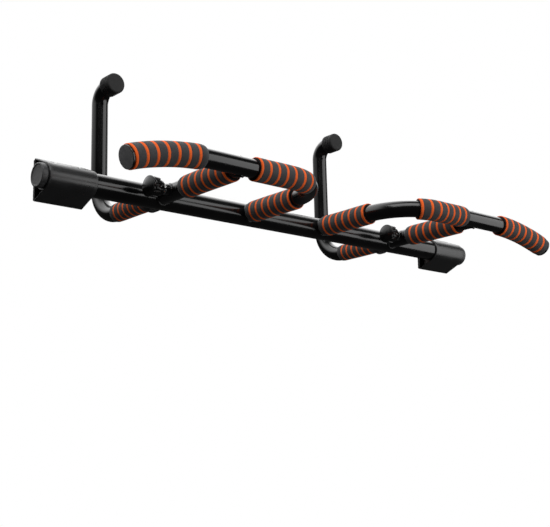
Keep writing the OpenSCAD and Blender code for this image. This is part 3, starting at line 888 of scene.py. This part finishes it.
def make_bar_cap(word, side):
    """The main bar's cap: a rim round a slightly sunken face, on a plug."""
    node = f"{word}_bar_cap"
    plug_r, plug_l = 17.4 * MM, 14 * MM
    rim_w, face_inset, sunk = 3 * MM, 3.4 * MM, 0.8 * MM
    rim = farthest_x(node) - BAR_END
    outline = [
        (-plug_l, 0), (-plug_l, plug_r), (0, plug_r), (0, BAR_R), (rim, BAR_R),
        (rim, BAR_R - rim_w), (rim - sunk, BAR_R - face_inset), (rim - sunk, 0)]
    radii = [1 * MM, 0, 0.3 * MM, 1.2 * MM, 0.5 * MM, 0.3 * MM]
    cap = lathe(node + "_disc", outline, radii, np.array([side * BAR_END, 0, 0]), X_AXIS * side,
                "frame", GREY_PLASTIC)
    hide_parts(node)


def make_handle_cap(word, side):
    """A handle's cap: a flat disc square to the end of the drooping tube, on a plug."""
    node = f"{word}_handle_cap"
    plug_r, plug_l = TUBE_R - 1.9 * MM, 9 * MM
    disc_r, disc_t = FOAM_R - 1.4 * MM, 3 * MM
    length, path = droop_path(side, 0, DROOP_LENGTH)
    (tube_end,), (outwards,) = path(np.array([length]))
    outline = [(-plug_l, 0), (-plug_l, plug_r), (0, plug_r), (0, disc_r), (disc_t, disc_r), (disc_t, 0)]
    radii = [0.6 * MM, 0, 0.5 * MM, 0.7 * MM]
    cap = lathe(node + "_disc", outline, radii, tube_end, outwards, "frame", GLOSS_BLACK,
                face=CAP_FACE)
    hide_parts(node)


# ---------------------------------------------------------------- knobs and boots


def knob_radius(angles, outer_r, flute_centre):
    """Radius of a fluted drum at each angle: the outer circle, cut by round flutes centred that far out."""
    step = 2 * np.pi / KNOB_FLUTES
    off = (angles + step / 2) % step - step / 2
    inside = FLUTE_R**2 - (flute_centre * np.sin(off)) ** 2
    cut = flute_centre * np.cos(off) - np.sqrt(np.maximum(inside, 0))
    return np.where(inside > 0, np.minimum(outer_r, cut), outer_r)


def eased_edge(x, r, way, size, near):
    """Three stations round an edge: on its face, just off its corner, and on its side."""
    return [(x, r - size), (x + way * near, r - near), (x + way * size, r)]


def make_knob(word):
    """Lock knob along -X: a hub, a fluted drum and a round plate whose face is a paraboloid dome.

    A station is a distance from the knob's back and a radius, or a radius for each angle.
    """
    node = f"{word}_knob_head"
    plate_r = width(node, 2) / 2
    around = 360
    a = np.linspace(0, 2 * np.pi, around, endpoint=False)
    drum = knob_radius(a, plate_r - 0.6 * MM, plate_r)
    rim = width(node, 0) - KNOB_DOME
    drum_end = rim - KNOB_PLATE_T
    neck_r, neck_l = plate_r - 2.6 * MM, 0.5 * MM
    stations = [(0.0, 0.0), *eased_edge(0.0, KNOB_HUB_R, 1, 0.8 * MM, 0.25 * MM), (KNOB_HUB_T, KNOB_HUB_R)]
    stations += eased_edge(KNOB_HUB_T, drum, 1, 0.9 * MM, 0.3 * MM)
    drum_back = len(stations)
    stations += eased_edge(drum_end, drum, -1, 0.9 * MM, 0.3 * MM)[::-1]
    stations += [(drum_end, neck_r), (drum_end + neck_l, neck_r)]
    stations += eased_edge(drum_end + neck_l, plate_r, 1, 0.7 * MM, 0.2 * MM)
    # the plate's outer edge is a quarter circle, and its face rises as a dome
    plate_edge = len(stations)
    turn = np.linspace(0, math.pi / 2, 9)
    face_r = plate_r - KNOB_EDGE_R
    stations += [(rim - KNOB_EDGE_R * (1 - math.sin(t)), face_r + KNOB_EDGE_R * math.cos(t)) for t in turn]
    stations += [(rim + KNOB_DOME * (1 - (r / face_r) ** 2), r) for r in np.linspace(face_r, 0, 14)[1:]]
    back = np.array([float(high(node)[0]), KNOB_Y, 0])
    rims = np.stack([np.zeros(around), np.cos(a), np.sin(a)], 1)
    points = np.vstack([back - X_AXIS * x + (r + np.zeros(around))[:, None] * rims for x, r in stations])
    worn = np.zeros(len(stations))
    worn[drum_back:drum_back + 2] = 1
    worn[plate_edge:plate_edge + len(turn) - 1] = 1
    faces = quads(len(stations), around, False, True)
    piece = make_piece(node + "_fluted", points, faces, f"{word}_knob", [KNOB_PLASTIC],
                       crease=30, wear=np.repeat(worn, around))
    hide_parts(node)


def make_boot(word, side):
    """Rubber boot over the hook: three grooves round it and a rounded closed end."""
    node = f"{word}_hook_boot"
    mouth = np.array([side * OUTER_X, float(high(node)[1]), HOOK_Z])
    length = width(node, 1)
    r = width(node, 0) / 2
    bore_r = ARM_R - 0.1 * MM
    lip, end_t = 0.2 * MM, 4 * MM
    groove_w, groove_d, slope = 2.5 * MM, 1 * MM, 0.3 * MM
    outline = [(lip, bore_r), (0, ARM_R + 1 * MM), (0, r), (4 * MM, r)]
    radii = [0, 1.2 * MM, 0]
    for start in (6 * MM, 11 * MM, 16 * MM):
        end = start + groove_w
        outline += [(start, r), (start + slope, r - groove_d), (end - slope, r - groove_d), (end, r)]
        radii += [0.25 * MM] * 4
    outline += [(length, r), (length, 0), (length - end_t, 0), (length - end_t, bore_r), (lip, bore_r)]
    radii += [4 * MM, 0, 0, 0]
    piece = lathe(node + "_ribbed", outline, radii, mouth, -Y_AXIS, f"{word}_arm", RUBBER)
    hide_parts(node)


# ---------------------------------------------------------------- CAD nodes that stay in view


CAD_MATERIALS = {
    "main_bar": GLOSS_BLACK, "handle_tube": GLOSS_BLACK, "outer_leg": GLOSS_BLACK, "arm_tube": GLOSS_BLACK,
    "knob_boss": GLOSS_BLACK, "arm_bush": NYLON, "knob_stud": STEEL, "knob_washer": STEEL, "knob_nut": STEEL,
}


def dress_nodes():
    """Gives every CAD node that stays in view its material."""
    for name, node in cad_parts.items():
        kind = name.replace("left_", "").replace("right_", "")
        if kind in CAD_MATERIALS:
            node.data.materials.clear()
            node.data.materials.append(CAD_MATERIALS[kind])


# ---------------------------------------------------------------- stage, light and camera

FLOOR_Z = -1.9


def make_stage():
    """A pale round floor: rings about the point under the bar."""
    paint = bpy.data.materials.new("pale_floor")
    paint.use_nodes = True
    shader = paint.node_tree.nodes["Principled BSDF"]
    shader.inputs["Base Color"].default_value = (0.85, 0.85, 0.85, 1)
    shader.inputs["Roughness"].default_value = 0.8
    around = 96
    radii = np.array([0.0, 2.0, 6.0, 14.0])
    profile = np.column_stack([np.zeros(len(radii)), radii])
    points = revolved(profile, np.array([0, 0, FLOOR_Z]), Z_AXIS, around)
    mesh = bpy.data.meshes.new("floor")
    mesh.from_pydata(points.tolist(), [], quads(len(radii), around, False, True).tolist())
    mesh.materials.append(paint)
    tidy(mesh)
    floor = bpy.data.objects.new("floor", mesh)
    floor.visible_glossy = False
    floor.visible_diffuse = False
    bpy.context.scene.collection.objects.link(floor)


def softbox(name, place, target, wide, tall, brightness, glossy=True):
    """A rectangular lamp turned towards a target: its power is brightness times pi times its area."""
    lamp = bpy.data.lights.new(name, "AREA")
    lamp.shape = "RECTANGLE"
    lamp.size, lamp.size_y = wide, tall
    lamp.energy = brightness * math.pi * wide * tall
    box = bpy.data.objects.new(name, lamp)
    turn = (Vector(target) - Vector(place)).to_track_quat("-Z", "Y").to_matrix().to_4x4()
    box.matrix_world = Matrix.Translation(place) @ turn
    box.visible_camera = False
    box.visible_glossy = glossy
    bpy.context.scene.collection.objects.link(box)


def make_lights():
    """Three lamps in a dim room that is bright above and behind.

    The lamps are a square panel in front to the right, a wide key above to the left and a weak fill below.
    """
    softbox("front_panel", (1.25, -1.65, 0.12), (0.1, -0.1, 0), 2.2, 2.2, 2.0)
    softbox("key", (-0.85, -1.35, 1.85), (0, 0, 0), 2.4, 1.6, 3.4)
    softbox("low_fill", (0, -0.4, -1.5), (0, -0.1, 0), 2.0, 2.0, 0.3, glossy=False)
    world = bpy.data.worlds.new("studio")
    world.use_nodes = True
    tree = world.node_tree
    sky = tree.nodes["Background"]
    way = put(tree, "ShaderNodeSeparateXYZ")
    tree.links.new(put(tree, "ShaderNodeTexCoord").outputs["Generated"], way.inputs[0])
    behind = spread(tree, way.outputs["Y"], -0.12, 0.25)
    above = spread(tree, way.outputs["Z"], 0.2, 0.55)
    room = spread(tree, maths(tree, "MULTIPLY", behind, above), 0.0, 1.0, 0.03, 2.2)
    seen = put(tree, "ShaderNodeLightPath").outputs["Is Camera Ray"]
    # the camera sees plain white, and everything else sees the room
    tree.links.new(spread(tree, seen, 0.0, 1.0, room, 1.0), sky.inputs["Strength"])
    sky.inputs["Color"].default_value = (1, 1, 1, 1)
    bpy.context.scene.world = world
    bpy.context.scene.view_settings.view_transform = "Standard"


def make_camera():
    """Below and to the left of the bar, looking up at it: a long lens, leaning by a degree."""
    place = (-1.2445, -1.3955, -0.4748)
    yaw, pitch, roll = math.radians(41.3), math.radians(12.07), math.radians(-1.34)
    ahead = np.array([math.sin(yaw) * math.cos(pitch), math.cos(yaw) * math.cos(pitch), math.sin(pitch)])
    right = np.array([math.cos(yaw), -math.sin(yaw), 0])
    right, up = (turned(way, ahead, -roll) for way in (right, np.cross(right, ahead)))
    lens = bpy.data.cameras.new("camera")
    lens.sensor_width = 36
    lens.lens = 71.17
    lens.clip_start = 0.05
    lens.clip_end = 60
    camera = bpy.data.objects.new("camera", lens)
    turn = Matrix(np.stack([right, up, -ahead], 1).tolist()).to_4x4()
    camera.matrix_world = Matrix.Translation(place) @ turn
    bpy.context.scene.collection.objects.link(camera)
    bpy.context.scene.camera = camera


# ---------------------------------------------------------------- build

dress_nodes()
make_grips()
make_welds()
for word, side in SIDES:
    make_bar_cap(word, side)
    make_handle_cap(word, side)
make_screws()
for word, side in SIDES:
    make_shoe(word, side)
    make_pad(word)
    make_knob(word)
    make_boot(word, side)

make_stage()
make_lights()
make_camera()
